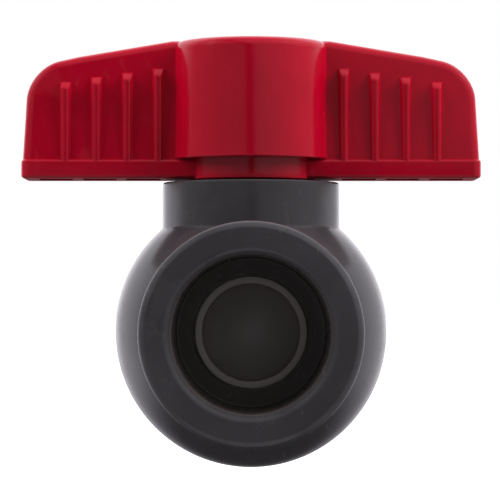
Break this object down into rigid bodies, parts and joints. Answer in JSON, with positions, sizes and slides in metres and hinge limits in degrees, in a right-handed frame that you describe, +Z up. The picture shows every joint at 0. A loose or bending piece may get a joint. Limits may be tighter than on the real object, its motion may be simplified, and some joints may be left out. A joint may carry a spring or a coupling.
{
  "type": "seacock valve",
  "caption": "Small plastic quarter-turn ball valve with a solvent-weld pipe socket at each end and a two-winged handle that turns the ball inside.",
  "frame": {"origin": "centre of the ball, where the pipe line and the stem axis cross", "axes": "+Y along the pipe line, away from the front socket shown in the picture; +Z up along the stem, towards the handle; +X to the right of someone looking into the front socket"},
  "size_m": [0.0662, 0.07, 0.0621],
  "materials": {
    "grey_plastic": "moulded dark grey PVC, semi-gloss",
    "ball_plastic": "polished light grey plastic",
    "stem_plastic": "turned dark grey PVC",
    "seat_plastic": "satin off-white seat plastic",
    "red_plastic": "moulded dark red ABS, semi-gloss",
    "rubber": "black EPDM, matte",
    "steel": "stainless steel, plain"
  },
  "bodies": {
    "valve_body": {"valve_body": "grey_plastic", "rear_end_connector": "grey_plastic", "connector_o_ring": "rubber", "front_seat": "seat_plastic", "rear_seat": "seat_plastic", "front_seat_cushion": "rubber", "rear_seat_cushion": "rubber", "stem_thrust_washer": "seat_plastic"},
    "handle_and_stem": {"handle": "red_plastic", "stem": "stem_plastic", "lower_stem_o_ring": "rubber", "upper_stem_o_ring": "rubber", "handle_washer": "steel", "handle_screw": "steel", "handle_cap": "red_plastic"},
    "ball": {"ball": "ball_plastic"}
  },
  "joints": [
    {"name": "handle_turn", "type": "hinge", "parent": "valve_body", "child": "handle_and_stem", "pos_m": [0, 0, 0], "axis": [0, 0, 1], "range_deg": [0, 90]},
    {"name": "ball_turn", "type": "hinge", "parent": "valve_body", "child": "ball", "pos_m": [0, 0, 0], "axis": [0, 0, 1], "range_deg": [0, 90]}
  ],
  "couplings": [
    {"joint": "ball_turn", "follows": "handle_turn", "ratio": 1}
  ]
}
